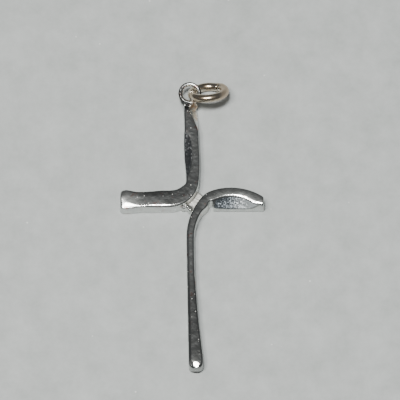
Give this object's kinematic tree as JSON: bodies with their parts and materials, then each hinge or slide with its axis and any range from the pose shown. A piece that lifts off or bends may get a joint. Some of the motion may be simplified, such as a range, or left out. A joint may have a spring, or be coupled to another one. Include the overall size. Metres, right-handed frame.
{
  "type": "cross pendant",
  "caption": "Small silver cross of two bent bars soldered where their bends pass, with two textured leaf hollows, a wire eye and a jump ring",
  "frame": {"origin": "middle of the footprint, on the surface that the cross lies on", "axes": "+X to the right arm, +Y up the cross to the eye and jump ring, +Z out of the front face"},
  "size_m": [0.0176, 0.039, 0.0039],
  "materials": {
    "cross_silver": "polished sterling silver with rough leaf hollows",
    "ring_silver": "polished drawn silver wire"
  },
  "bodies": {
    "root": {"cross": "cross_silver", "jump_ring": "ring_silver"}
  },
  "joints": []
}
